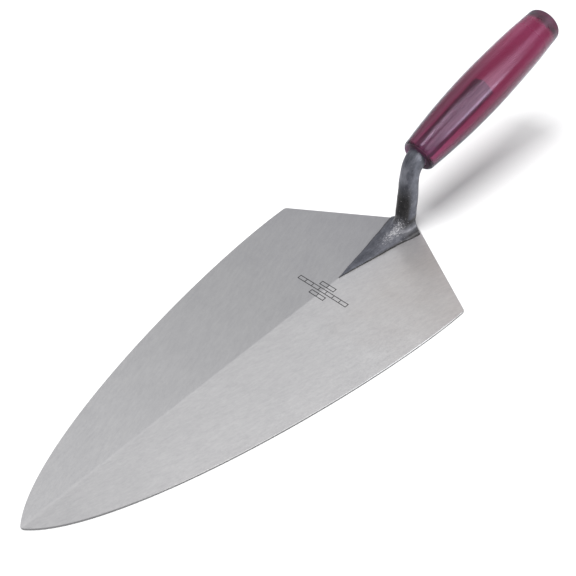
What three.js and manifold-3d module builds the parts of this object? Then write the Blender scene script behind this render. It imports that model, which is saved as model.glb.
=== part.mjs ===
// A brick trowel of the broad-heeled pointed pattern: a ground steel blade, a forged shank
// with its heel and tang, and a turned plastic handle.
//
// Lengths are in millimetres. The pieces are drawn with the blade's rear apex at the origin,
// +X towards the tip, +Z up and the flat underside of the blade on Z = 0. The finished group
// is then shifted so that its origin is the bottom centre of its bounding box.

import * as THREE from 'three';
import { mergeVertices } from 'three/addons/utils/BufferGeometryUtils.js';
import Module from 'manifold-3d';

const wasm = await Module();
wasm.setup();

// Blade: 11 in long and 5 1/2 in across its back corners.
const bladeLength = 279.4;
const bladeWidth = 139.7;
const backCornerX = 39.2;
const backCornerRadius = 1.8;
const tipRadius = 2.5;
const tipHalfAngle = THREE.MathUtils.degToRad(52.4);
const ridgeHeightAtHeel = 1.6;
const ridgeHeightAtTip = 1.1;
const backCornerThickness = 1.0;

// How far each curved side keeps its starting direction, at the back corner and at the tip,
// and how much it has already turned in at the first of these.
const heelSideHandle = 64;
const tipSideHandle = 49;
const sideTurnIn = 0.4;

// Heel: the long wedge under the shank, lying on the blade's ridge.
const heelLength = 64;
const heelHalfWidth = 12.4;
const heelInset = 1.1;
const heelBase = 0.8;
const heelBluntness = 0.5;
const heelWallAtApex = 2.2;
const heelWallRise = 1.4;
const heelCrestAtApex = 2.3;
const heelCrestRise = 3.4;
const heelFilletX = 6.7;
const heelFilletReach = 5.0;
const heelFilletHeight = 6.0;

// Shank: a round bar that stands on the heel and bends back into the handle. Its centreline
// is two curves, which meet at the bend.
const shankRadius = 5.8;
const neckFoot = new THREE.Vector3(8.4, 0, 3.6);
const neckRise = new THREE.Vector3(6.1, 0, 11.5);
const neckBelowBend = new THREE.Vector3(4.1, 0, 20.5);
const neckBend = new THREE.Vector3(2.7, 0, 30);
const neckAboveBend = new THREE.Vector3(1.8, 0, 36.5);
const neckRunIntoMouth = 6;

// Tang: the bar inside the handle. It is nearly round at its start and square at its end, and
// it is turned about the handle's axis.
const tangStartWidth = 7.3;
const tangEndWidth = 6.8;
const tangStartChamfer = 2.0;
const tangEndChamfer = 0.3;
const tangTurn = THREE.MathUtils.degToRad(-33);
const tangReach = 59.5;

// Handle: turned, fullest just behind its middle, rising towards the butt.
const mouth = new THREE.Vector3(-5.4, 0, 43.87);
const handleRise = THREE.MathUtils.degToRad(13.5);
const handleLength = 119.7;
const mouthRadius = 10.45;
const bellyRadius = 13.9;
const buttRadius = 11.1;
const bellyAt = 58;
const swellBeforeBelly = [[15.5, 11.8], [35.5, 13.25]];
const swellBehindBelly = [[78, 13.55], [99, 12.65]];
const endRounding = 2.3;
const buttDome = 0.8;
const boreRadius = 5.0;
const boreDepth = 60.5;
const socketRadius = 6.2;
const socketDepth = 1.6;
const shoulderDepth = 1.2;

// Clearance between pieces that touch on the real tool.
const gap = 0.3;

const halfWidth = bladeWidth / 2;
const backEdgeAngle = Math.atan2(halfWidth, backCornerX);

// ---------------------------------------------------------------- solids

function toSolid(geometry) {
  const bare = geometry.index ? geometry.toNonIndexed() : geometry.clone();
  bare.deleteAttribute('normal');
  bare.deleteAttribute('uv');
  const merged = mergeVertices(bare, 1e-4);
  return new wasm.Manifold(new wasm.Mesh({
    numProp: 3,
    vertProperties: new Float32Array(merged.attributes.position.array),
    triVerts: new Uint32Array(merged.index.array),
  }));
}

function toGeometry(solid) {
  const mesh = solid.getMesh();
  const geometry = new THREE.BufferGeometry();
  geometry.setAttribute('position', new THREE.BufferAttribute(mesh.vertProperties, 3));
  geometry.setIndex(new THREE.BufferAttribute(mesh.triVerts, 1));
  geometry.computeVertexNormals();
  return geometry;
}

// A closed solid through rings of points. Every ring has the same number of points, and they
// run anticlockwise when seen from the side that the rings advance to.
function loft(rings) {
  const count = rings[0].length;
  const faces = [];
  for (let i = 0; i < rings.length - 1; i += 1) {
    for (let j = 0; j < count; j += 1) {
      const a = i * count + j;
      const b = i * count + ((j + 1) % count);
      faces.push(a, b, a + count, b, b + count, a + count);
    }
  }
  const last = (rings.length - 1) * count;
  for (let j = 1; j < count - 1; j += 1) {
    faces.push(0, j + 1, j);
    faces.push(last, last + j, last + j + 1);
  }
  const geometry = new THREE.BufferGeometry().setFromPoints(rings.flat());
  geometry.setIndex(faces);
  return geometry;
}

// ---------------------------------------------------------------- blade

// The plan outline: two straight back edges, rounded back corners, curved sides and a blunt
// rounded tip. It is drawn along the -Y side to the tip and back along the +Y side.
function bladeOutline() {
  const back = new THREE.Vector2(Math.cos(backEdgeAngle), Math.sin(backEdgeAngle));
  const corner = new THREE.Vector2(backCornerX, halfWidth);
  const beforeCorner = corner.clone().addScaledVector(back, -backCornerRadius);
  const afterCorner = new THREE.Vector2(corner.x + backCornerRadius, corner.y);
  const tipEdge = new THREE.Vector2(
    bladeLength - tipRadius * (1 - Math.sin(tipHalfAngle)),
    tipRadius * Math.cos(tipHalfAngle),
  );
  const leaving = new THREE.Vector2(afterCorner.x + heelSideHandle, corner.y - sideTurnIn);
  const arriving = new THREE.Vector2(
    tipEdge.x - tipSideHandle * Math.cos(tipHalfAngle),
    tipEdge.y + tipSideHandle * Math.sin(tipHalfAngle),
  );
  const outline = new THREE.Shape();
  outline.moveTo(0, 0);
  outline.lineTo(beforeCorner.x, -beforeCorner.y);
  outline.quadraticCurveTo(corner.x, -corner.y, afterCorner.x, -afterCorner.y);
  outline.bezierCurveTo(leaving.x, -leaving.y, arriving.x, -arriving.y, tipEdge.x, -tipEdge.y);
  const tipArc = Math.PI / 2 - tipHalfAngle;
  outline.absarc(bladeLength - tipRadius, 0, tipRadius, -tipArc, tipArc, false);
  outline.bezierCurveTo(arriving.x, arriving.y, leaving.x, leaving.y, afterCorner.x, afterCorner.y);
  outline.quadraticCurveTo(corner.x, corner.y, beforeCorner.x, beforeCorner.y);
  outline.lineTo(0, 0);
  return outline;
}

// A block whose underside lies on one facet of the blade's roof-shaped top.
function facetCutter(side) {
  const fall = ridgeHeightAtHeel - ridgeHeightAtTip;
  const ridgeAtCorner = ridgeHeightAtHeel - (fall * backCornerX) / bladeLength;
  const roll = Math.atan2(ridgeAtCorner - backCornerThickness, halfWidth);
  const pitch = Math.atan2(fall, bladeLength);
  const depth = 20 * ridgeHeightAtHeel;
  const block = new THREE.BoxGeometry(3 * bladeLength, 2 * bladeWidth, depth);
  block.translate(0, 0, depth / 2);
  block.rotateX(-side * roll);
  block.rotateY(pitch);
  block.translate(0, 0, ridgeHeightAtHeel);
  return toSolid(block);
}

function makeBlade() {
  const plate = new THREE.ExtrudeGeometry(bladeOutline(), {
    depth: 2 * ridgeHeightAtHeel,
    bevelEnabled: false,
    curveSegments: 20,
  });
  return toSolid(plate).subtract(facetCutter(1)).subtract(facetCutter(-1));
}

// ---------------------------------------------------------------- shank

// How far x is from the heel's apex towards the blade's rear apex, from 0 to 1.
function heelShare(x) {
  return 1 - x / heelLength;
}

// Height of the heel's rounded top, with a fillet that climbs the foot of the shank.
function heelTop(x, y, width) {
  const wall = heelWallAtApex + heelWallRise * heelShare(x);
  const crest = heelCrestAtApex + heelCrestRise * heelShare(x);
  const across = width > 0 ? y / width : 0;
  const toShank = Math.hypot(x - heelFilletX, y) - shankRadius;
  const climb = THREE.MathUtils.clamp(1 - toShank / heelFilletReach, 0, 1);
  return wall + (crest - wall) * (1 - across * across) + heelFilletHeight * climb * climb;
}

function makeHeel() {
  const stations = 26;
  const topPoints = 14;
  const rings = [];
  for (let i = 0; i <= stations; i += 1) {
    const x = (heelLength - heelBluntness) * (1 - i / stations);
    const width = heelHalfWidth * heelShare(x);
    const ring = [new THREE.Vector3(x, -width, heelBase)];
    for (let j = 0; j <= topPoints; j += 1) {
      const y = width * ((2 * j) / topPoints - 1);
      ring.push(new THREE.Vector3(x, y, heelTop(x, y, width)));
    }
    ring.push(new THREE.Vector3(x, width, heelBase));
    rings.push(ring);
  }
  return toSolid(loft(rings));
}

// A tall prism between the blade's two back edges, drawn in by the heel's inset.
function backEdgePrism() {
  const apexX = heelInset / Math.sin(backEdgeAngle);
  const reach = 2 * heelLength;
  const front = apexX + reach;
  const side = reach * Math.tan(backEdgeAngle);
  const tallerThanHeel = 60;
  const wedge = new THREE.Shape();
  wedge.moveTo(apexX, 0);
  wedge.lineTo(front, -side);
  wedge.lineTo(front, side);
  wedge.closePath();
  return toSolid(new THREE.ExtrudeGeometry(wedge, { depth: tallerThanHeel, bevelEnabled: false }));
}

// Direction of the handle's axis, from the mouth to the butt.
const handleAxis = new THREE.Vector3(-Math.cos(handleRise), 0, Math.sin(handleRise));

function alongHandle(distance) {
  return mouth.clone().addScaledVector(handleAxis, distance);
}

function makeNeck() {
  const beforeShoulder = alongHandle(shoulderDepth - neckRunIntoMouth);
  const shoulder = alongHandle(shoulderDepth);
  const path = new THREE.CurvePath();
  path.add(new THREE.CubicBezierCurve3(neckFoot, neckRise, neckBelowBend, neckBend));
  path.add(new THREE.CubicBezierCurve3(neckBend, neckAboveBend, beforeShoulder, shoulder));
  const section = new THREE.Shape();
  section.absarc(0, 0, shankRadius, 0, 2 * Math.PI, false);
  return toSolid(new THREE.ExtrudeGeometry(section, {
    extrudePath: path,
    steps: 30,
    curveSegments: 12,
  }));
}

// Turns a geometry whose axis is +Z into place on the handle's axis, from the mouth.
function placeOnHandle(geometry, distance) {
  const turn = new THREE.Quaternion().setFromUnitVectors(new THREE.Vector3(0, 0, 1), handleAxis);
  geometry.applyQuaternion(turn);
  const start = alongHandle(distance);
  geometry.translate(start.x, start.y, start.z);
  return geometry;
}

// The eight corners of one section of the tang, which faces up the handle's axis.
function tangRing(width, chamfer, distance) {
  const side = width / 2;
  const cut = side - chamfer;
  const corners = [
    [side, -cut],
    [side, cut],
    [cut, side],
    [-cut, side],
    [-side, cut],
    [-side, -cut],
    [-cut, -side],
    [cut, -side],
  ];
  const axis = new THREE.Vector3(0, 0, 1);
  return corners.map(([x, y]) => new THREE.Vector3(x, y, distance).applyAxisAngle(axis, tangTurn));
}

function makeTang() {
  const overlap = 1;
  const start = shoulderDepth - overlap;
  const bar = loft([
    tangRing(tangStartWidth, tangStartChamfer, 0),
    tangRing(tangEndWidth, tangEndChamfer, tangReach - start),
  ]);
  return toSolid(placeOnHandle(bar, start));
}

// The forging in one piece. Its underside follows the blade's top, one gap above it.
function makeShank(blade) {
  const heel = makeHeel().intersect(backEdgePrism());
  const forging = heel.add(makeNeck()).add(makeTang());
  return forging.subtract(blade.translate([0, 0, gap]));
}

// ---------------------------------------------------------------- handle

// Half section, as radius and distance from the mouth. It starts and ends on the axis and
// goes round the bore, the socket, the outside and the domed butt.
function handleProfile() {
  const end = handleLength;
  const profile = new THREE.Path();
  profile.moveTo(0, boreDepth);
  profile.lineTo(boreRadius, boreDepth);
  profile.lineTo(boreRadius, socketDepth);
  profile.lineTo(socketRadius, socketDepth);
  profile.lineTo(socketRadius, 0);
  profile.lineTo(mouthRadius - endRounding, 0);
  profile.absarc(mouthRadius - endRounding, endRounding, endRounding, -Math.PI / 2, 0, false);
  const swell = [
    ...swellBeforeBelly,
    [bellyAt, bellyRadius],
    ...swellBehindBelly,
    [end - endRounding, buttRadius],
  ];
  profile.splineThru(swell.map(([distance, radius]) => new THREE.Vector2(radius, distance)));
  profile.absarc(buttRadius - endRounding, end - endRounding, endRounding, 0, Math.PI / 2, false);
  profile.quadraticCurveTo(buttRadius / 3, end + buttDome, 0, end + buttDome);
  const pointsPerCurve = 4;
  return profile.getPoints(pointsPerCurve);
}

function makeHandle() {
  const sidesRound = 36;
  const turned = new THREE.LatheGeometry(handleProfile(), sidesRound);
  turned.rotateX(Math.PI / 2);
  return turned;
}

// ---------------------------------------------------------------- assembly

const groundSteel = new THREE.MeshStandardMaterial({
  color: new THREE.Color(0.71, 0.71, 0.72),
  metalness: 0.9,
  roughness: 0.38,
});
const forgedSteel = new THREE.MeshStandardMaterial({
  color: new THREE.Color(0.2, 0.21, 0.24),
  metalness: 0.7,
  roughness: 0.55,
});
const rubyPlastic = new THREE.MeshStandardMaterial({
  color: new THREE.Color(0.42, 0.08, 0.22),
  metalness: 0,
  roughness: 0.15,
});

function named(name, geometry, material) {
  const mesh = new THREE.Mesh(geometry, material);
  mesh.name = name;
  return mesh;
}

const bladeSolid = makeBlade();
const handle = named('handle', makeHandle(), rubyPlastic);
handle.position.copy(mouth);
handle.quaternion.setFromUnitVectors(new THREE.Vector3(0, 0, 1), handleAxis);

const pieces = new THREE.Group();
pieces.add(named('blade', toGeometry(bladeSolid), groundSteel));
pieces.add(named('shank', toGeometry(makeShank(bladeSolid)), forgedSteel));
pieces.add(handle);

// Put the origin at the bottom centre of the bounding box.
pieces.updateMatrixWorld(true);
const box = new THREE.Box3().setFromObject(pieces, true);
const centre = box.getCenter(new THREE.Vector3());
pieces.position.set(-centre.x, -centre.y, -box.min.z);

const trowel = new THREE.Group();
trowel.add(pieces);

export default trowel;
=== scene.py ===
"""A brick trowel: ground blade, forged shank and translucent handle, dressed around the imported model."""

import math

import bmesh
import bpy
from mathutils import Matrix, Vector, noise


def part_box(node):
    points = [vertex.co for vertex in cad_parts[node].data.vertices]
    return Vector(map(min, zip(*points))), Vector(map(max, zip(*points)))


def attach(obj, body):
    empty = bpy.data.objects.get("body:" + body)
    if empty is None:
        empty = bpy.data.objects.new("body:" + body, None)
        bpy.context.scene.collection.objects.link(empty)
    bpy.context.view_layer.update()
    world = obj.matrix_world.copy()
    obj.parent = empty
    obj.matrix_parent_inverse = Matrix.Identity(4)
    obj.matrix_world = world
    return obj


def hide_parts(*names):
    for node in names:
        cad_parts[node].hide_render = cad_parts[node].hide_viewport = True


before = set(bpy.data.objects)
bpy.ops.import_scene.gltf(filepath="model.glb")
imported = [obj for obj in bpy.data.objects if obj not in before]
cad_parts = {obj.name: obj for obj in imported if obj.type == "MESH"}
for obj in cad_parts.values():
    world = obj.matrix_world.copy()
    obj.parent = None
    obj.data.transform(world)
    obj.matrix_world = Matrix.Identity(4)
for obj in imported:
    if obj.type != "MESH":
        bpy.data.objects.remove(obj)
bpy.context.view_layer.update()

MM = 0.001

# ---------------------------------------------------------------- sizes, in millimetres
# Drawn like the CAD parts: the blade's rear apex at the origin, +X to the tip, +Z up.

BLADE_LENGTH = 279.4
BLADE_HALF_WIDTH = 69.85
BACK_CORNER_X = 39.2
BACK_CORNER_RADIUS = 1.8
TIP_RADIUS = 2.5
TIP_HALF_ANGLE = math.radians(52.4)
# How the side's curve is pulled as it leaves the back corner, and how far as it arrives at the tip.
LEAVING_PULL = (64.0, -0.4)
ARRIVING_PULL = 49.0
EDGE_THICKNESS = 1.0
EDGE_BEVEL = 0.22
RIDGE_RISE = 0.6
RIDGE_SLOPE = 0.0086
RIDGE_FADE_FROM = 45.0
RIDGE_FADE_TO = 270.0
# The ridge's rounding, where it is whole and where it has faded.
RIDGE_ROUNDINGS = (0.3, 6.3)
# How far the grinding marks are turned from the blade's length, on the -Y and the +Y facet.
LEFT_GRIND = math.radians(20.0)
RIGHT_GRIND = math.radians(-14.0)

HEEL_LENGTH = 64.0
HEEL_HALF_WIDTH = 12.4
HEEL_INSET = 1.1
# Heights above the blade's underside. The floor is sunk below the blade's top, so that no gap shows,
# and the walls and the crest are each given at the heel's point and at its back.
HEEL_FLOOR = 0.8
HEEL_WALLS = (1.8, 3.4)
HEEL_CRESTS = (1.9, 5.5)
# The higher this power, the flatter the crest.
CREST_POWER = 2.3
# A low ledge runs along the foot of the heel's walls at its back, and fades over this stretch.
LEDGE_WIDTH = 0.9
LEDGE_RISE = 1.0
LEDGE_FADE = (12.0, 22.0)

SHANK_RADIUS = 6.0
SHANK_FOOT_X = 6.7
# How far the fillet reaches out from the shank's foot, and how high it climbs, beside it and in front.
FILLET_REACHES = (1.6, 5.8)
FILLET_CLIMBS = (2.4, 7.0)
FILLET_POWER = 2.2

# The neck's centre line is two curves that meet at its bend, with a pull at each end of each.
NECK_FOOT = Vector((8.5, 0.0, 2.6))
NECK_FOOT_PULL = Vector((6.1, 0.0, 11.5))
NECK_BEND = Vector((2.7, 0.0, 30.0))
NECK_BEND_PULLS = (Vector((4.1, 0.0, 20.5)), Vector((1.8, 0.0, 36.5)))
NECK_SHOULDER_PULL = 6.0
NECK_BEND_SHARE = 0.6
NECK_THINNING = 0.5
NECK_SWELL = 0.6

SCUFF_AT = (19.0, 1.2)
SCUFF_REACH = (15.0, 5.5)

# The tang starts almost round and ends square, and it is turned about the handle's axis.
TANG_WIDTHS = (7.3, 6.8)
TANG_CHAMFERS = (2.0, 0.3)
TANG_TURN = math.radians(33.0)
TANG_REACH = 59.5

MOUTH = Vector((-5.4, 0.0, 43.87))
HANDLE_RISE = math.radians(13.5)
HANDLE_AXIS = Vector((-math.cos(HANDLE_RISE), 0.0, math.sin(HANDLE_RISE)))
HANDLE_LENGTH = 119.7
# The turned side, as distances from the mouth and radii.
HANDLE_RADII = (
    (2.3, 10.45), (15.5, 11.8), (35.5, 13.25), (58.0, 13.9), (78.0, 13.55), (99.0, 12.65), (117.4, 11.1),
)
BUTT_DOME = 0.8
SOCKET_RADIUS = 6.3
SOCKET_DEPTH = 1.6
SOCKET_LIP = 0.35
SOCKET_CORNER = 0.2
SHOULDER_DEPTH = 1.2
# The hole is this much smaller than the tang, so the plastic grips the steel with no air between.
GRIP = 0.02

SIDEWAYS = Vector((0.0, 1.0, 0.0))

# The row frame's origin is the bottom centre of the whole tool, so the blade's box gives the shift.
blade_low, blade_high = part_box("blade")
APEX = Vector((blade_low.x, (blade_low.y + blade_high.y) / 2, blade_low.z))
TO_ROW = Matrix.Translation(APEX) @ Matrix.Scale(MM, 4)


# ---------------------------------------------------------------- mesh helpers

def link(piece):
    bpy.context.scene.collection.objects.link(piece)
    return piece


def make_object(name, verts, faces):
    """An object whose mesh is given in the drawing's millimetres and stored in row metres."""
    mesh = bpy.data.meshes.new(name)
    mesh.from_pydata([tuple(v) for v in verts], [], faces)
    mesh.transform(TO_ROW)
    mesh.validate()
    fix = bmesh.new()
    fix.from_mesh(mesh)
    bmesh.ops.recalc_face_normals(fix, faces=fix.faces)
    fix.to_mesh(mesh)
    fix.free()
    return link(bpy.data.objects.new(name, mesh))


def ring_faces(first, second, count):
    """Quads between two rings of vertices that start at the given indices."""
    return [
        (first + j, first + (j + 1) % count, second + (j + 1) % count, second + j)
        for j in range(count)
    ]


def tube_faces(rings, count):
    """The faces of a closed tube: quads between rings of count vertices, and a flat face at each end."""
    faces = []
    for i in range(rings - 1):
        faces += ring_faces(i * count, (i + 1) * count, count)
    faces.append(tuple(range(count)))
    faces.append(tuple(reversed(range((rings - 1) * count, rings * count))))
    return faces


def circle(centre, across, radius, count):
    """Points round a centre, in the plane of SIDEWAYS and across. The radius may depend on the angle."""
    points = []
    for j in range(count):
        angle = 2 * math.pi * j / count
        points.append(centre + (SIDEWAYS * math.cos(angle) + across * math.sin(angle)) * radius(angle))
    return points


def smooth(piece, sharp_degrees):
    """Shades a piece smooth, apart from its edges sharper than the given angle."""
    piece.data.shade_smooth()
    piece.data.set_sharp_from_angle(angle=math.radians(sharp_degrees))


def apply_modifiers(piece):
    bpy.context.view_layer.update()
    graph = bpy.context.evaluated_depsgraph_get()
    done = bpy.data.meshes.new_from_object(piece.evaluated_get(graph))
    piece.modifiers.clear()
    piece.data = done


def combine(piece, operation, tool):
    """Cuts or joins a piece with a tool object, which is used up."""
    step = piece.modifiers.new("combine", "BOOLEAN")
    step.operation = operation
    step.object = tool
    step.solver = "EXACT"
    apply_modifiers(piece)
    bpy.data.objects.remove(tool)


def smoothstep(low, high, value):
    t = min(max((value - low) / (high - low), 0.0), 1.0)
    return t * t * (3 - 2 * t)


def between(ends, share):
    """A value part of the way from the first end to the second."""
    return ends[0] + (ends[1] - ends[0]) * share


def bezier(a, b, c, d, t):
    s = 1 - t
    return a * s**3 + b * (3 * s * s * t) + c * (3 * s * t * t) + d * t**3


# ---------------------------------------------------------------- blade

def blade_side():
    """The +Y half of the outline from the rear apex to the tip, as points and outward normals."""
    back_steps, corner_steps, side_steps, tip_steps = 40, 10, 150, 10
    corner = Vector((BACK_CORNER_X, BLADE_HALF_WIDTH))
    back = corner.normalized()
    before = corner - back * BACK_CORNER_RADIUS
    after = corner + Vector((BACK_CORNER_RADIUS, 0))
    across, forward = math.cos(TIP_HALF_ANGLE), math.sin(TIP_HALF_ANGLE)
    tip_edge = Vector((BLADE_LENGTH - TIP_RADIUS * (1 - forward), TIP_RADIUS * across))
    leaving = after + Vector(LEAVING_PULL)
    arriving = tip_edge + Vector((-ARRIVING_PULL * across, ARRIVING_PULL * forward))
    points = [before * (i / back_steps) for i in range(back_steps + 1)]
    for i in range(1, corner_steps):
        t = i / corner_steps
        points.append(before * (1 - t) ** 2 + corner * (2 * t * (1 - t)) + after * t * t)
    points += [bezier(after, leaving, arriving, tip_edge, i / side_steps) for i in range(side_steps + 1)]
    swing = math.pi / 2 - TIP_HALF_ANGLE
    tip_centre = Vector((BLADE_LENGTH - TIP_RADIUS, 0.0))
    for i in range(1, tip_steps + 1):
        angle = swing * (1 - i / tip_steps)
        points.append(tip_centre + Vector((math.cos(angle), math.sin(angle))) * TIP_RADIUS)
    points[-1].y = 0.0
    normals = []
    for i, point in enumerate(points):
        ahead = points[min(i + 1, len(points) - 1)]
        behind = points[max(i - 1, 0)]
        run = (ahead - behind).normalized()
        normals.append(Vector((-run.y, run.x)))
    normals[0] = Vector((-1.0 / back.y, 0.0))
    normals[-1] = Vector((1.0, 0.0))
    return points, normals


def blade_top(x, y):
    """Height of the blade's top face: two facets that meet in a ridge, which fades towards the tip."""
    keep = 1 - smoothstep(RIDGE_FADE_FROM, RIDGE_FADE_TO, x)
    rounding = between(RIDGE_ROUNDINGS, 1 - keep)
    fall = math.sqrt(y * y + rounding * rounding) - rounding
    return EDGE_THICKNESS + RIDGE_RISE * keep - RIDGE_SLOPE * keep * fall


def make_blade():
    points, normals = blade_side()
    side = list(zip(points, normals))
    count = len(side)
    loop = side + [(Vector((p.x, -p.y)), Vector((n.x, -n.y))) for p, n in side[count - 2:0:-1]]
    total = len(loop)

    def rim(inset, height):
        """The outline drawn in by the inset, at a height or, without one, on the top face."""
        layer = []
        for p, n in loop:
            q = p - n * inset
            z = height if height is not None else blade_top(q.x, q.y)
            layer.append(Vector((q.x, q.y, z)))
        return layer

    verts = rim(EDGE_BEVEL, 0.0) + rim(0.0, EDGE_BEVEL)
    verts += [Vector((v.x, v.y, v.z - EDGE_BEVEL)) for v in rim(0.0, None)]
    verts += rim(EDGE_BEVEL, None)
    bottom, top = 0, 3
    faces = []
    for layer in range(bottom, top):
        faces += ring_faces(layer * total, (layer + 1) * total, total)

    # Lines across the top and bottom join matching points of the two sides, closer near the ridge.
    shares = (0.985, 0.93, 0.8, 0.6, 0.4, 0.22, 0.1, 0.04, 0.012)
    shares = shares + (0.0,) + tuple(-s for s in reversed(shares))
    for layer in (top, bottom):
        base = layer * total
        rows = []
        for i in range(1, count - 1):
            edge = verts[base + i]
            row = [base + i]
            for share in shares:
                y = edge.y * share
                z = blade_top(edge.x, y) if layer == top else 0.0
                row.append(len(verts))
                verts.append(Vector((edge.x, y, z)))
            row.append(base + total - i)
            rows.append(row)
        for a, b in zip(rows, rows[1:]):
            faces += [(a[k], a[k + 1], b[k + 1], b[k]) for k in range(len(a) - 1)]
        for end, row in ((base, rows[0]), (base + count - 1, rows[-1])):
            faces += [(end, row[k], row[k + 1]) for k in range(len(row) - 1)]
    piece = make_object("blade_ground", verts, faces)
    smooth(piece, 30)
    return piece


# ---------------------------------------------------------------- shank

def heel_half_width(x):
    return HEEL_HALF_WIDTH * (1 - x / HEEL_LENGTH)


def heel_top(x, y, width):
    """The heel's back: steep flanks, a flattened crest and a fillet that climbs the front of the shank."""
    t = 1 - x / HEEL_LENGTH
    wall = between(HEEL_WALLS, t)
    crest = between(HEEL_CRESTS, t)
    across = abs(y) / width
    ahead = x - SHANK_FOOT_X
    distance = math.hypot(ahead, y)
    facing = max(ahead / distance, 0.0) ** 2 if distance > 0 else 1.0
    climb = min(max(1 - (distance - SHANK_RADIUS) / between(FILLET_REACHES, facing), 0.0), 1.0)
    fillet = between(FILLET_CLIMBS, facing) * climb**FILLET_POWER
    return wall + (crest - wall) * (1 - across**CREST_POWER) + fillet


def make_heel():
    """A wedge lofted along X, with its two back edges cut parallel to the blade's."""
    stations = 150
    steps = 56
    blunt = 0.3
    droop = 0.1
    verts = []
    for i in range(stations + 1):
        x = (HEEL_LENGTH - blunt) * (1 - i / stations)
        width = heel_half_width(x)
        out = width + LEDGE_WIDTH * (1 - smoothstep(*LEDGE_FADE, x))
        shelf = blade_top(x, width) + LEDGE_RISE
        verts += [Vector((x, -out, HEEL_FLOOR)), Vector((x, -out, shelf - droop)), Vector((x, -width, shelf))]
        for j in range(steps + 1):
            y = width * (2 * j / steps - 1)
            verts.append(Vector((x, y, heel_top(x, y, width))))
        verts += [Vector((x, width, shelf)), Vector((x, out, shelf - droop)), Vector((x, out, HEEL_FLOOR))]
    heel = make_object("heel_blank", verts, tube_faces(stations + 1, len(verts) // (stations + 1)))

    half_angle = math.atan2(BLADE_HALF_WIDTH, BACK_CORNER_X)
    apex = HEEL_INSET / math.sin(half_angle)
    reach = 120.0
    spread = reach * math.tan(half_angle)
    outline = ((apex, 0.0), (apex + reach, -spread), (apex + reach, spread))
    low, high = -10.0, 40.0
    cutter_verts = [Vector((x, y, z)) for z in (low, high) for x, y in outline]
    cutter_faces = [(0, 1, 2), (3, 5, 4), (0, 3, 4, 1), (1, 4, 5, 2), (2, 5, 3, 0)]
    combine(heel, "INTERSECT", make_object("heel_cutter", cutter_verts, cutter_faces))
    return heel


def along_handle(distance):
    """The point on the handle's axis at a distance from its mouth."""
    return MOUTH + HANDLE_AXIS * distance


def neck_point(t):
    """Centreline of the neck from the heel (t = 0) to its shoulder in the handle (t = 1)."""
    if t < NECK_BEND_SHARE:
        return bezier(NECK_FOOT, NECK_FOOT_PULL, NECK_BEND_PULLS[0], NECK_BEND, t / NECK_BEND_SHARE)
    shoulder = along_handle(SHOULDER_DEPTH)
    shoulder_pull = along_handle(SHOULDER_DEPTH - NECK_SHOULDER_PULL)
    share = (t - NECK_BEND_SHARE) / (1 - NECK_BEND_SHARE)
    return bezier(NECK_BEND, NECK_BEND_PULLS[1], shoulder_pull, shoulder, share)


def neck_radius(t, angle):
    """The bar has soft forged flats. It thins towards its bend and swells where it enters the handle."""
    four_flats, two_flats, lean = 0.16, 0.10, 0.6
    flats = four_flats * math.cos(4 * angle) + two_flats * math.cos(2 * angle + lean)
    thinning = NECK_THINNING * smoothstep(0.3, 0.7, t)
    swell = NECK_SWELL * smoothstep(0.74, 0.95, t)
    return SHANK_RADIUS - thinning + swell - flats


def make_neck():
    steps = 90
    count = 64
    nearby = 0.002
    verts = []
    for i in range(steps + 1):
        t = i / steps
        run = neck_point(min(t + nearby, 1.0)) - neck_point(max(t - nearby, 0.0))
        across = SIDEWAYS.cross(run.normalized())
        verts += circle(neck_point(t), across, lambda angle: neck_radius(t, angle), count)
    return make_object("neck_blank", verts, tube_faces(steps + 1, count))


def tang_section(distance, shrink):
    """The eight corners of the tang's section at a distance from the mouth."""
    share = (distance - SHOULDER_DEPTH) / (TANG_REACH - SHOULDER_DEPTH)
    half = between(TANG_WIDTHS, share) / 2 - shrink
    cut = half - between(TANG_CHAMFERS, share)
    corners = (
        (half, -cut), (half, cut), (cut, half), (-cut, half),
        (-half, cut), (-half, -cut), (-cut, -half), (cut, -half),
    )
    cos, sin = math.cos(TANG_TURN), math.sin(TANG_TURN)
    return [(a * cos - b * sin, a * sin + b * cos) for a, b in corners]


def make_tang(name, start, end, shrink=0.0):
    """A chamfered square bar along the handle's axis, between two distances from the mouth."""
    across = SIDEWAYS.cross(HANDLE_AXIS)
    verts = []
    for distance in (start, end):
        section = tang_section(distance, shrink)
        verts += [along_handle(distance) + SIDEWAYS * a + across * b for a, b in section]
    return make_object(name, verts, tube_faces(2, 8))


def make_shank():
    """The heel and neck fused and softened like one forging, with the tang added to it."""
    fused = bmesh.new()
    for part in (make_heel(), make_neck()):
        fused.from_mesh(part.data)
        bpy.data.objects.remove(part)
    mesh = bpy.data.meshes.new("shank_forged")
    fused.to_mesh(mesh)
    fused.free()
    piece = link(bpy.data.objects.new("shank_forged", mesh))
    remesh = piece.modifiers.new("fuse", "REMESH")
    remesh.mode = "VOXEL"
    remesh.voxel_size = 0.3 * MM
    soften = piece.modifiers.new("soften", "SMOOTH")
    soften.factor = 0.5
    soften.iterations = 4
    apply_modifiers(piece)

    # Hammered unevenness of a tenth of a millimetre or so, as (waves per millimetre, height).
    hammering = ((0.16, 0.16), (0.55, 0.05))
    normals = [vert.normal.copy() for vert in piece.data.vertices]
    for vert, normal in zip(piece.data.vertices, normals):
        at = vert.co / MM
        swell = sum(noise.noise(at * waves) * height for waves, height in hammering)
        vert.co += normal * swell * MM
    root = 1.0
    combine(piece, "UNION", make_tang("tang_blank", SHOULDER_DEPTH - root, TANG_REACH))
    smooth(piece, 35)
    return piece


# ---------------------------------------------------------------- handle

def handle_slope(k):
    """How fast the handle's radius grows at one of its HANDLE_RADII."""
    before, after = HANDLE_RADII[max(k - 1, 0)], HANDLE_RADII[min(k + 1, len(HANDLE_RADII) - 1)]
    return (after[1] - before[1]) / (after[0] - before[0])


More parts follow.
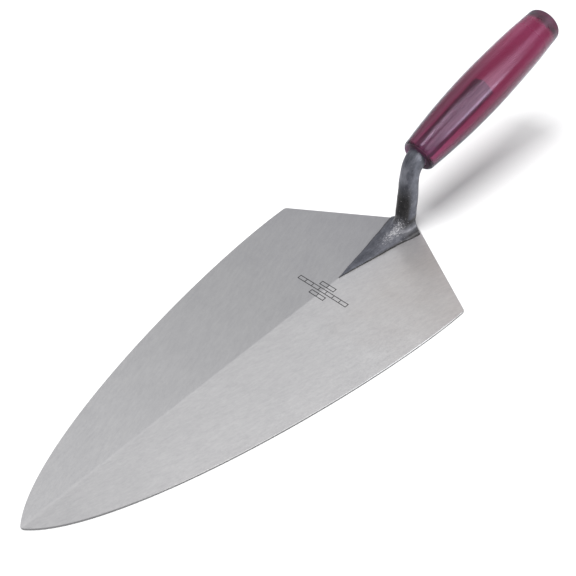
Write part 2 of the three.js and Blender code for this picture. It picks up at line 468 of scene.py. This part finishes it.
def handle_radius(distance):
    """Smooth radius through HANDLE_RADII, by a Catmull-Rom curve."""
    i = 0
    while i < len(HANDLE_RADII) - 2 and distance > HANDLE_RADII[i + 1][0]:
        i += 1
    (x0, y0), (x1, y1) = HANDLE_RADII[i], HANDLE_RADII[i + 1]
    span = x1 - x0
    t = (distance - x0) / span
    h00 = 2 * t**3 - 3 * t**2 + 1
    h10 = t**3 - 2 * t**2 + t
    h01 = -2 * t**3 + 3 * t**2
    h11 = t**3 - t**2
    return h00 * y0 + h10 * span * handle_slope(i) + h01 * y1 + h11 * span * handle_slope(i + 1)


def end_rounding(room, radius, slope):
    """Points from a flat end to the turned side, as (distance from the end, radius), without a kink.

    The side starts at the distance room from the end, with the given radius and outward slope.
    """
    steps = 14
    tilt = math.atan(slope)
    curve = room / (1 - math.sin(tilt))
    points = []
    for i in range(steps + 1):
        angle = (math.pi / 2 - tilt) * i / steps
        points.append((
            curve * (1 - math.cos(angle)),
            radius - curve * (math.cos(tilt) - math.sin(angle)),
        ))
    return points


def handle_profile():
    """(distance from the mouth, radius) from the socket's floor over the outside to the butt's centre."""
    lip_steps, body_steps, dome_steps = 4, 90, 8
    profile = [
        (SOCKET_DEPTH, 0.0),
        (SOCKET_DEPTH, SOCKET_RADIUS - SOCKET_CORNER),
        (SOCKET_DEPTH - SOCKET_CORNER, SOCKET_RADIUS),
    ]
    for i in range(lip_steps + 1):
        angle = math.pi / 2 * i / lip_steps
        profile.append((
            SOCKET_LIP * (1 - math.sin(angle)),
            SOCKET_RADIUS + SOCKET_LIP * (1 - math.cos(angle)),
        ))
    start, mouth_radius = HANDLE_RADII[0]
    end, butt_radius = HANDLE_RADII[-1]
    profile += end_rounding(start, mouth_radius, handle_slope(0))
    for i in range(1, body_steps):
        distance = start + (end - start) * i / body_steps
        profile.append((distance, handle_radius(distance)))
    butt = end_rounding(HANDLE_LENGTH - end, butt_radius, -handle_slope(len(HANDLE_RADII) - 1))
    profile += [(HANDLE_LENGTH - distance, radius) for distance, radius in reversed(butt)]
    flat = butt[0][1]
    for i in range(1, dome_steps + 1):
        share = 1 - i / dome_steps
        profile.append((HANDLE_LENGTH + BUTT_DOME * (1 - share * share), flat * share))
    return profile


def make_handle():
    """The turned handle. Its profile starts and ends on the axis, and the tang's hole is cut last."""
    profile = handle_profile()
    count = 144
    across = SIDEWAYS.cross(HANDLE_AXIS)
    verts = [along_handle(profile[0][0])]
    for distance, radius in profile[1:-1]:
        verts += circle(along_handle(distance), across, lambda angle: radius, count)
    verts.append(along_handle(profile[-1][0]))
    rings = len(profile) - 2
    last = 1 + (rings - 1) * count
    faces = [(0, 1 + (j + 1) % count, 1 + j) for j in range(count)]
    for i in range(rings - 1):
        faces += ring_faces(1 + i * count, 1 + (i + 1) * count, count)
    faces += [(last + j, last + (j + 1) % count, len(verts) - 1) for j in range(count)]
    piece = make_object("handle_plastic", verts, faces)
    outside = -1.0
    combine(piece, "DIFFERENCE", make_tang("hole_blank", outside, TANG_REACH - GRIP, GRIP))
    smooth(piece, 40)
    return piece


# ---------------------------------------------------------------- node helpers

def new_material(name):
    material = bpy.data.materials.new(name)
    material.use_nodes = True
    tree = material.node_tree
    tree.nodes.clear()
    output = tree.nodes.new("ShaderNodeOutputMaterial")
    shader = tree.nodes.new("ShaderNodeBsdfPrincipled")
    tree.links.new(shader.outputs["BSDF"], output.inputs["Surface"])
    return material, tree, shader, output


def feed(tree, socket, value):
    """Links a socket to another node's output, or sets its number, vector or colour."""
    if isinstance(value, bpy.types.NodeSocket):
        tree.links.new(value, socket)
    elif socket.type == "RGBA":
        socket.default_value = (*value, 1.0)
    else:
        socket.default_value = value


def math_node(tree, operation, a, b=None):
    node = tree.nodes.new("ShaderNodeMath")
    node.operation = operation
    feed(tree, node.inputs[0], a)
    if b is not None:
        feed(tree, node.inputs[1], b)
    return node.outputs[0]


def product(tree, *factors):
    total = factors[0]
    for factor in factors[1:]:
        total = math_node(tree, "MULTIPLY", total, factor)
    return total


def highest(tree, *values):
    top = values[0]
    for value in values[1:]:
        top = math_node(tree, "MAXIMUM", top, value)
    return top


def weighted_sum(tree, *terms):
    """Adds up values, each given with its weight."""
    parts = [math_node(tree, "MULTIPLY", value, weight) for value, weight in terms]
    total = parts[0]
    for part in parts[1:]:
        total = math_node(tree, "ADD", total, part)
    return total


def noise_node(tree, vector, scale, detail, roughness):
    node = tree.nodes.new("ShaderNodeTexNoise")
    node.inputs["Scale"].default_value = scale
    node.inputs["Detail"].default_value = detail
    node.inputs["Roughness"].default_value = roughness
    tree.links.new(vector, node.inputs["Vector"])
    return node.outputs["Fac"]


def ramp_node(tree, factor, low, high, out_low=0.0, out_high=1.0):
    node = tree.nodes.new("ShaderNodeMapRange")
    node.inputs["From Min"].default_value = low
    node.inputs["From Max"].default_value = high
    node.inputs["To Min"].default_value = out_low
    node.inputs["To Max"].default_value = out_high
    tree.links.new(factor, node.inputs["Value"])
    return node.outputs["Result"]


def mix_node(tree, data_type, factor, a, b, blend="MIX"):
    node = tree.nodes.new("ShaderNodeMix")
    node.data_type = data_type
    node.blend_type = blend
    sockets = [socket for socket in node.inputs if socket.enabled]
    for socket, value in zip(sockets, (factor, a, b)):
        feed(tree, socket, value)
    return next(socket for socket in node.outputs if socket.enabled)


def mix_color(tree, factor, a, b):
    return mix_node(tree, "RGBA", factor, a, b)


def tint_color(tree, color, tint):
    """A colour multiplied by another."""
    return mix_node(tree, "RGBA", 1.0, color, tint, "MULTIPLY")


def split_node(tree, vector):
    node = tree.nodes.new("ShaderNodeSeparateXYZ")
    tree.links.new(vector, node.inputs["Vector"])
    return node.outputs["X"], node.outputs["Y"], node.outputs["Z"]


def normal_parts(tree):
    """The surface normal's X, Y and Z."""
    geometry = tree.nodes.new("ShaderNodeNewGeometry")
    return split_node(tree, geometry.outputs["Normal"])


def millimetres(tree):
    """Object coordinates in the drawing's millimetres, as a vector and its X, Y and Z."""
    coords = tree.nodes.new("ShaderNodeTexCoord")
    mapping = tree.nodes.new("ShaderNodeMapping")
    mapping.vector_type = "POINT"
    mapping.inputs["Scale"].default_value = (1 / MM,) * 3
    mapping.inputs["Location"].default_value = tuple(-APEX / MM)
    tree.links.new(coords.outputs["Object"], mapping.inputs["Vector"])
    return mapping.outputs["Vector"], *split_node(tree, mapping.outputs["Vector"])


def vector_node(tree, x, y, z):
    node = tree.nodes.new("ShaderNodeCombineXYZ")
    for socket, value in zip(node.inputs, (x, y, z)):
        feed(tree, socket, value)
    return node.outputs["Vector"]


def length_node(tree, vector):
    node = tree.nodes.new("ShaderNodeVectorMath")
    node.operation = "LENGTH"
    tree.links.new(vector, node.inputs[0])
    return node.outputs["Value"]


def bump_node(tree, height, distance, strength, shader):
    """Bumps in the shader's normal, where a height of 1 stands for the given distance in metres."""
    node = tree.nodes.new("ShaderNodeBump")
    node.inputs["Strength"].default_value = strength
    node.inputs["Distance"].default_value = distance
    tree.links.new(height, node.inputs["Height"])
    tree.links.new(node.outputs["Normal"], shader.inputs["Normal"])


# ---------------------------------------------------------------- ground steel

# Each course of the etched mark, as its place along the blade and its number of bricks.
MARK_COURSES = ((72.5, 2), (76.7, 7), (81.0, 2))
MARK_COURSE_HEIGHT = 3.0
MARK_BRICK = 5.3
MARK_LINE = 0.55
MARK_STRENGTH = 0.88
MARK_COLOR = (0.03, 0.03, 0.033)

STEEL_DARK, STEEL_LIGHT = (0.50, 0.50, 0.51), (0.64, 0.64, 0.64)
# The edge colour is painted shade along the blade's narrow edges.
STEEL_EDGE_SHADE = (0.2, 0.2, 0.205)
# Tints that make the blade lighter towards the tip and darker beside the heel.
TIP_TINT = (1.1, 1.1, 1.1)
LEFT_HEEL_TINT, RIGHT_HEEL_TINT = (0.93, 0.93, 0.95), (0.91, 0.87, 0.84)


def brick_mark(tree, x, y):
    """A small etched pictogram of three brick courses across the ridge, 1 on its lines and 0 elsewhere."""
    courses = []
    for centre, bricks in MARK_COURSES:
        from_centre = math_node(tree, "ABSOLUTE", math_node(tree, "SUBTRACT", x, centre))
        inside_x = math_node(tree, "LESS_THAN", from_centre, MARK_COURSE_HEIGHT / 2)
        bed_joint = math_node(tree, "GREATER_THAN", from_centre, MARK_COURSE_HEIGHT / 2 - MARK_LINE)
        # An odd number of bricks has a brick on the ridge, and an even number has a joint there.
        shifted = math_node(tree, "ADD", y, MARK_BRICK / 2 * (bricks % 2))
        from_joint = math_node(tree, "PINGPONG", shifted, MARK_BRICK / 2)
        end_joint = math_node(tree, "LESS_THAN", from_joint, MARK_LINE / 2)
        half_length = (bricks * MARK_BRICK + MARK_LINE) / 2
        inside_y = math_node(tree, "LESS_THAN", math_node(tree, "ABSOLUTE", y), half_length)
        courses.append(product(tree, highest(tree, bed_joint, end_joint), inside_x, inside_y))
    return highest(tree, *courses)


def grind_noises(tree, x, y, angle):
    """Fine and broad grinding marks that run at an angle to the blade's length."""
    lengthened = 0.26
    cos, sin = math.cos(angle), math.sin(angle)
    along = weighted_sum(tree, (x, cos), (y, sin))
    across = weighted_sum(tree, (y, cos), (x, -sin))
    at = vector_node(tree, math_node(tree, "MULTIPLY", along, lengthened), across, angle)
    return noise_node(tree, at, 2.4, 3.0, 0.7), noise_node(tree, at, 0.55, 3.0, 0.6)


def ground_steel():
    """Belt-ground steel. Each facet has its own direction of grain, and the gloss follows the grain."""
    material, tree, shader, _ = new_material("ground_steel")
    vector, x, y, _ = millimetres(tree)

    # The two grinds meet at the ridge, sharply at first and more softly where it fades.
    blend = ramp_node(tree, x, RIDGE_FADE_FROM, RIDGE_FADE_TO, 0.3, 1.2)
    right = ramp_node(tree, math_node(tree, "DIVIDE", y, blend), -1.0, 1.0)
    left_fine, left_broad = grind_noises(tree, x, y, LEFT_GRIND)
    right_fine, right_broad = grind_noises(tree, x, y, RIGHT_GRIND)
    fine = mix_node(tree, "FLOAT", right, left_fine, right_fine)
    broad = mix_node(tree, "FLOAT", right, left_broad, right_broad)
    mottle = noise_node(tree, vector, 0.05, 5.0, 0.6)
    tone = weighted_sum(tree, (fine, 0.45), (broad, 0.35), (mottle, 0.2))
    face = mix_color(tree, ramp_node(tree, tone, 0.3, 0.7), STEEL_DARK, STEEL_LIGHT)

    # Lighter towards the tip, and darker beside the heel, more so and warmer on the +Y side.
    towards_tip = ramp_node(tree, x, 110.0, 210.0)
    face = mix_color(tree, towards_tip, face, tint_color(tree, face, TIP_TINT))
    towards_heel = ramp_node(tree, weighted_sum(tree, (x, 1.0), (mottle, 60.0)), 130.0, 50.0)
    heel_tint = mix_color(tree, ramp_node(tree, y, 0.0, 28.0), LEFT_HEEL_TINT, RIGHT_HEEL_TINT)
    face = mix_color(tree, towards_heel, face, tint_color(tree, face, heel_tint))
    mark = product(tree, brick_mark(tree, x, y), MARK_STRENGTH)
    face = mix_color(tree, mark, face, MARK_COLOR)

    # The narrow edges are only rough ground; their darker colour is painted shade.
    upward = normal_parts(tree)[2]
    flatness = ramp_node(tree, math_node(tree, "ABSOLUTE", upward), 0.5, 0.9)
    feed(tree, shader.inputs["Base Color"], mix_color(tree, flatness, STEEL_EDGE_SHADE, face))
    feed(tree, shader.inputs["Roughness"], ramp_node(tree, fine, 0.3, 0.7, 0.38, 0.44))
    shader.inputs["Metallic"].default_value = 1.0
    shader.inputs["Anisotropic"].default_value = 0.75
    tangents = [(-math.sin(angle), math.cos(angle), 0.0) for angle in (LEFT_GRIND, RIGHT_GRIND)]
    feed(tree, shader.inputs["Tangent"], mix_node(tree, "VECTOR", right, *tangents))
    bump_node(tree, fine, 0.01 * MM, 0.5, shader)
    return material


# ---------------------------------------------------------------- forged steel

# Each as its darkest and lightest tone.
FORGE_SCALE = ((0.07, 0.073, 0.088), (0.17, 0.178, 0.21))
# The second tone pair is painted shade, not a colour of the scale.
FORGE_PAINTED_SHADE = ((0.02, 0.02, 0.021), (0.058, 0.056, 0.056))
# The third tone pair is bare steel where the scale is rubbed, and also painted highlight on the bend and
# crest.
FORGE_BARE_AND_HIGHLIGHT = ((0.16, 0.165, 0.19), (0.34, 0.345, 0.38))
TANG_STEEL = ((0.17, 0.17, 0.2), (0.34, 0.34, 0.39))
SCRATCH_COLOR = (0.62, 0.62, 0.64)


def across_heel(tree, x, y):
    """How far out a point lies across the heel: 0 on its middle line and 1 on its edge."""
    narrowing = math_node(tree, "MULTIPLY", x, HEEL_HALF_WIDTH / HEEL_LENGTH)
    half_width = math_node(tree, "SUBTRACT", HEEL_HALF_WIDTH, narrowing)
    return math_node(tree, "DIVIDE", math_node(tree, "ABSOLUTE", y), highest(tree, half_width, 0.1))


def painted_shade_places(tree, x, z, normal, across, on_heel, ragged):
    """Painted shade on the front of the upright bar, on the heel's +Y flank and rim, and low on its walls."""
    normal_x, normal_y, normal_z = normal
    frontal = weighted_sum(tree, (normal_x, 0.9), (normal_y, -0.36), (ragged, 1.0))
    on_bar = product(tree, ramp_node(tree, z, 6.0, 9.0), ramp_node(tree, z, 36.0, 23.0))
    bar = product(tree, on_bar, ramp_node(tree, frontal, -0.3, 0.25))
    beside_foot = product(tree, ramp_node(tree, z, 12.0, 9.0), ramp_node(tree, x, 21.0, 14.0), 0.95)
    facing_flank = math_node(tree, "ADD", normal_y, ragged)
    flank = product(tree, beside_foot, ramp_node(tree, facing_flank, -0.1, 0.25))
    on_rim = product(tree, ramp_node(tree, across, 0.84, 0.97), ramp_node(tree, across, 1.06, 1.0))
    rim = product(tree, on_heel, on_rim, 0.8)
    upright = ramp_node(tree, math_node(tree, "ABSOLUTE", normal_z), 0.8, 0.5)
    wall = product(tree, upright, ramp_node(tree, z, 3.4, 2.7))
    return highest(tree, bar, flank, wall, rim)


def near_scuffs(tree, x, y, z):
    """1 where the heel climbs the bar and is scuffed most, fading to 0 around it."""
    ahead = math_node(tree, "DIVIDE", math_node(tree, "SUBTRACT", x, SCUFF_AT[0]), SCUFF_REACH[0])
    aside = math_node(tree, "DIVIDE", math_node(tree, "SUBTRACT", y, SCUFF_AT[1]), SCUFF_REACH[1])
    away = length_node(tree, vector_node(tree, ahead, aside, 0.0))
    return product(tree, ramp_node(tree, away, 1.0, 0.1), ramp_node(tree, z, 14.0, 9.0))


def wear_and_highlight_places(tree, x, z, normal, across, on_heel, ragged, near):
    """Scale rubbed thin near the scuffs, and painted highlight on the outside of the bend and along the
    heel's crest, which is partly rubbed too.
    """
    normal_x, normal_y, _ = normal
    bend_side = weighted_sum(tree, (normal_x, 0.86), (normal_y, -0.5), (ragged, 1.0))
    on_bend = product(tree, ramp_node(tree, z, 31.0, 35.0), ramp_node(tree, z, 44.0, 41.0))
    bend = product(tree, on_bend, ramp_node(tree, bend_side, 0.45, 0.7), 0.5)
    crest_side = product(tree, ramp_node(tree, normal_y, -0.15, 0.02), ramp_node(tree, across, 0.95, 0.75))
    crest = product(tree, on_heel, crest_side, ramp_node(tree, x, 46.0, 26.0), 0.4)
    return highest(tree, product(tree, near, 0.55), bend, crest)


def forged_steel():
    """Dark blue-grey forge scale with painted shade and painted highlight, scuffed bright on the heel's
    crest, with cleaner steel on the tang.
    """
    material, tree, shader, _ = new_material("forged_steel")
    vector, x, y, z = millimetres(tree)
    normal = normal_parts(tree)
    patches = noise_node(tree, vector, 0.16, 6.0, 0.6)
    grit = noise_node(tree, vector, 1.3, 5.0, 0.7)
    drawn_out = vector_node(tree, product(tree, x, 0.12), y, product(tree, z, 0.2))
    drawn = noise_node(tree, drawn_out, 1.1, 3.0, 0.6)
    tone = weighted_sum(tree, (patches, 0.45), (grit, 0.25), (drawn, 0.3))
    tone = ramp_node(tree, tone, 0.38, 0.62)

    ragged = product(tree, math_node(tree, "SUBTRACT", patches, 0.5), 0.9)
    on_heel = ramp_node(tree, z, 8.0, 5.5)
    across = across_heel(tree, x, y)
    near = near_scuffs(tree, x, y, z)
    painted_shade = painted_shade_places(tree, x, z, normal, across, on_heel, ragged)
    wear_and_highlight = wear_and_highlight_places(tree, x, z, normal, across, on_heel, ragged, near)
    # Painted shade on the bar's front, the heel's +Y flank and rim, and low on its walls.
    color = mix_color(tree, painted_shade, mix_color(tree, tone, *FORGE_SCALE), mix_color(tree, tone, *FORGE_PAINTED_SHADE))
    # Bare steel near the scuffs, and painted highlight on the outside of the bend and along the heel's crest.
    color = mix_color(tree, wear_and_highlight, color, mix_color(tree, tone, *FORGE_BARE_AND_HIGHLIGHT))

    # Short bright scratches, gathered near the scuffs, and a few anywhere.
    lengthwise = vector_node(tree, product(tree, x, 0.4), product(tree, y, 1.4), z)
    scratches = noise_node(tree, lengthwise, 1.15, 4.0, 0.8)
    scuff = ramp_node(tree, weighted_sum(tree, (scratches, 1.0), (near, 0.19)), 0.64, 0.72)
    color = mix_color(tree, scuff, color, SCRATCH_COLOR)

    onto_tang = ramp_node(tree, along_axis(tree, x, z), SHOULDER_DEPTH + 0.2, SHOULDER_DEPTH + 0.8)
    streaks = noise_node(tree, along_handle_vector(tree, x, y, z, 0.06), 1.5, 3.0, 0.7)
    cleaned = mix_color(tree, ramp_node(tree, streaks, 0.35, 0.65), *TANG_STEEL)
    feed(tree, shader.inputs["Base Color"], mix_color(tree, onto_tang, color, cleaned))
    feed(tree, shader.inputs["Roughness"], ramp_node(tree, grit, 0.3, 0.7, 0.36, 0.56))
    feed(tree, shader.inputs["Metallic"], ramp_node(tree, onto_tang, 0.0, 1.0, 0.7, 0.2))
    bump_node(tree, weighted_sum(tree, (grit, 1.0), (scuff, 0.5)), 0.1 * MM, 0.6, shader)
    return material


# ---------------------------------------------------------------- ruby plastic

CLEAR, SMOKY, SAWN = (1.0, 1.0, 1.0), (0.84, 0.40, 0.60), (0.36, 0.16, 0.28)
BUTT_END = ((0.21, 0.035, 0.105), (0.36, 0.10, 0.20))
ABSORBED = (0.69, 0.165, 0.46, 1.0)
ABSORPTION = 210.0


def along_axis(tree, x, z):
    """Distance into the handle from its mouth, measured along the handle's axis."""
    from_mouth_x = math_node(tree, "SUBTRACT", x, MOUTH.x)
    from_mouth_z = math_node(tree, "SUBTRACT", z, MOUTH.z)
    return weighted_sum(tree, (from_mouth_x, HANDLE_AXIS.x), (from_mouth_z, HANDLE_AXIS.z))


def along_handle_vector(tree, x, y, z, stretch):
    """Coordinates turned to the handle's axis and shortened along it, so that noise draws streaks."""
    upwards = weighted_sum(tree, (x, HANDLE_AXIS.z), (z, -HANDLE_AXIS.x))
    return vector_node(tree, product(tree, along_axis(tree, x, z), stretch), y, upwards)


def ruby_plastic():
    """Clear tinted plastic. The tint is absorption inside it, so it deepens with thickness."""
    material, tree, shader, output = new_material("ruby_plastic")
    vector, x, y, z = millimetres(tree)
    haze = noise_node(tree, vector, 0.35, 4.0, 0.6)
    streaks = noise_node(tree, along_handle_vector(tree, x, y, z, 0.05), 1.2, 3.0, 0.7)
    shader.inputs["IOR"].default_value = 1.49
    shader.inputs["Specular Tint"].default_value = (0.9, 0.68, 0.92, 1.0)
    shader.inputs["Sheen Weight"].default_value = 0.26
    shader.inputs["Sheen Roughness"].default_value = 0.35
    shader.inputs["Sheen Tint"].default_value = (0.42, 0.84, 1.0, 1.0)

    # The turned sides are polished. The two ends are left duller from the cut, with a smoky band at the butt.
    depth_in = along_axis(tree, x, z)
    at_mouth = ramp_node(tree, depth_in, 0.8, 0.15)
    at_butt = ramp_node(tree, weighted_sum(tree, (depth_in, 1.0), (haze, 9.0)), 111.5, 121.5)
    at_butt = math_node(tree, "POWER", at_butt, 1.3)
    at_end = ramp_node(tree, depth_in, 118.8, 119.6)
    polished = ramp_node(tree, haze, 0.3, 0.7, 0.18, 0.24)
    frosted = highest(tree, product(tree, at_mouth, 0.4), product(tree, at_butt, 0.25))
    feed(tree, shader.inputs["Roughness"], math_node(tree, "ADD", polished, frosted))
    surface = mix_color(tree, at_butt, CLEAR, SMOKY)
    surface = mix_color(tree, at_mouth, surface, SAWN)
    end_tone = mix_color(tree, ramp_node(tree, haze, 0.35, 0.65), *BUTT_END)
    feed(tree, shader.inputs["Base Color"], mix_color(tree, at_end, surface, end_tone))
    chalky = product(tree, at_mouth, ramp_node(tree, y, -3.0, -7.0))
    cloudy = weighted_sum(tree, (chalky, 0.5), (at_butt, 0.04))
    cloudy = highest(tree, cloudy, product(tree, at_end, 0.7))
    feed(tree, shader.inputs["Transmission Weight"], math_node(tree, "SUBTRACT", 1.0, cloudy))
    bump_node(tree, streaks, 0.02 * MM, 0.25, shader)
    depth = tree.nodes.new("ShaderNodeVolumeAbsorption")
    depth.inputs["Color"].default_value = ABSORBED
    depth.inputs["Density"].default_value = ABSORPTION
    tree.links.new(depth.outputs["Volume"], output.inputs["Volume"])
    return material


# ---------------------------------------------------------------- stage, in metres

CAMERA_AT = Vector((0.25756, 0.31322, 0.39527))
CAMERA_AZIMUTH = math.radians(53.10)
CAMERA_ELEVATION = math.radians(43.65)
CAMERA_ROLL = math.radians(-10.02)
CAMERA_LENS = 63.45
CAMERA_SENSOR = 36.0

# The floor lies a hair under the blade, so that the two faces don't coincide.
FLOOR_SIZE = 6.0
FLOOR_DROP = 0.0001
FLOOR_COLOR = (0.64, 0.64, 0.64, 1.0)
WORLD_COLOR = (0.98, 0.98, 1.0, 1.0)
WORLD_STRENGTH = 0.66

# Lights, each as its name, place, target, size in metres, power in watts and colour.
COOL, WARM, NEUTRAL, ROSY = (0.93, 0.96, 1.0), (1.0, 0.975, 0.955), (1.0, 1.0, 1.0), (1.0, 0.8, 0.92)
ON_HANDLE = (-0.14, 0, 0.06)
FLOOR_LIGHTS = (
    ("floor_light", (-0.05, 0, 1.1), (-0.05, 0, 0), (0.6, 0.6), 18.0, NEUTRAL),
)
METAL_LIGHTS = (
    ("side_strip", (-0.43, 0.82, 0.45), ON_HANDLE, (0.46, 0.22), 2.9, COOL),
    ("high_box", (-0.145, 0.66, 1.0), (-0.145, 0, 0.06), (1.15, 1.0), 10.8, WARM),
)
HANDLE_LIGHTS = (
    ("gloss_strip", (-0.45, 0.82, 0.49), ON_HANDLE, (0.34, 0.2), 2.5, COOL),
    ("gloss_upper", (-0.38, 0.66, 0.85), ON_HANDLE, (0.50, 0.5), 3.5, NEUTRAL),
    ("gloss_far", (-0.78, 0.60, 0.85), ON_HANDLE, (0.30, 0.5), 1.1, ROSY),
    ("gloss_over", (-0.26, 0.18, 1.06), ON_HANDLE, (0.34, 0.6), 2.4, NEUTRAL),
    ("gloss_front", (-0.12, 0.10, 1.06), ON_HANDLE, (0.16, 0.2), 0.55, NEUTRAL),
    ("gloss_low", (-0.42, -0.62, 0.80), ON_HANDLE, (0.9, 0.4), 0.7, COOL),
)


def make_camera():
    data = bpy.data.cameras.new("camera")
    data.lens = CAMERA_LENS
    data.sensor_width = CAMERA_SENSOR
    camera = link(bpy.data.objects.new("camera", data))
    flat = math.cos(CAMERA_ELEVATION)
    towards = Vector((
        flat * math.cos(CAMERA_AZIMUTH),
        flat * math.sin(CAMERA_AZIMUTH),
        math.sin(CAMERA_ELEVATION),
    ))
    turn = towards.to_track_quat("Z", "Y").to_matrix().to_4x4()
    roll = Matrix.Rotation(CAMERA_ROLL, 4, "Z")
    camera.matrix_world = Matrix.Translation(CAMERA_AT) @ turn @ roll
    bpy.context.scene.camera = camera


def make_stage():
    """A pale floor just under the blade, and an even pale surround."""
    half = FLOOR_SIZE / 2
    corners = [(-half, -half, 0), (half, -half, 0), (half, half, 0), (-half, half, 0)]
    mesh = bpy.data.meshes.new("floor")
    mesh.from_pydata(corners, [], [(0, 1, 2, 3)])
    floor = link(bpy.data.objects.new("floor", mesh))
    floor.location.z = APEX.z - FLOOR_DROP
    material, _, shader, _ = new_material("pale_floor")
    shader.inputs["Base Color"].default_value = FLOOR_COLOR
    shader.inputs["Roughness"].default_value = 0.9
    floor.data.materials.append(material)

    world = bpy.data.worlds.new("studio")
    world.use_nodes = True
    background = world.node_tree.nodes["Background"]
    background.inputs["Color"].default_value = WORLD_COLOR
    background.inputs["Strength"].default_value = WORLD_STRENGTH
    bpy.context.scene.world = world
    bpy.context.scene.view_settings.view_transform = "Standard"
    return floor


def area_light(name, at, target, size, power, color):
    data = bpy.data.lights.new(name, "AREA")
    data.shape = "RECTANGLE"
    data.size, data.size_y = size
    data.energy = power
    data.color = color
    light = link(bpy.data.objects.new(name, data))
    direction = Vector(target) - Vector(at)
    light.rotation_euler = direction.to_track_quat("-Z", "Y").to_euler()
    light.location = at
    return light


def make_lights(lights, name, receivers, excluded=False):
    """Lights that fall on the given objects only, or on everything but them."""
    group = bpy.data.collections.new(name)
    for number, receiver in enumerate(receivers):
        group.objects.link(receiver)
        if excluded:
            group.collection_objects[number].light_linking.link_state = "EXCLUDE"
    for light in lights:
        area_light(*light).light_linking.receiver_collection = group


# ---------------------------------------------------------------- assembly

def place(piece, node, material):
    """Gives a piece its material, and lets it stand for a CAD node."""
    piece.data.materials.clear()
    piece.data.materials.append(material)
    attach(piece, "root")
    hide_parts(node)


make_camera()
floor = make_stage()
place(make_blade(), "blade", ground_steel())
place(make_shank(), "shank", forged_steel())
handle = make_handle()
place(handle, "handle", ruby_plastic())

# One light draws the tool's soft shadow on the floor, and the others only shape the gloss on the tool.
make_lights(FLOOR_LIGHTS, "shadow_catchers", [floor])
make_lights(METAL_LIGHTS, "metal_only", [floor, handle], excluded=True)
make_lights(HANDLE_LIGHTS, "handle_only", [handle])
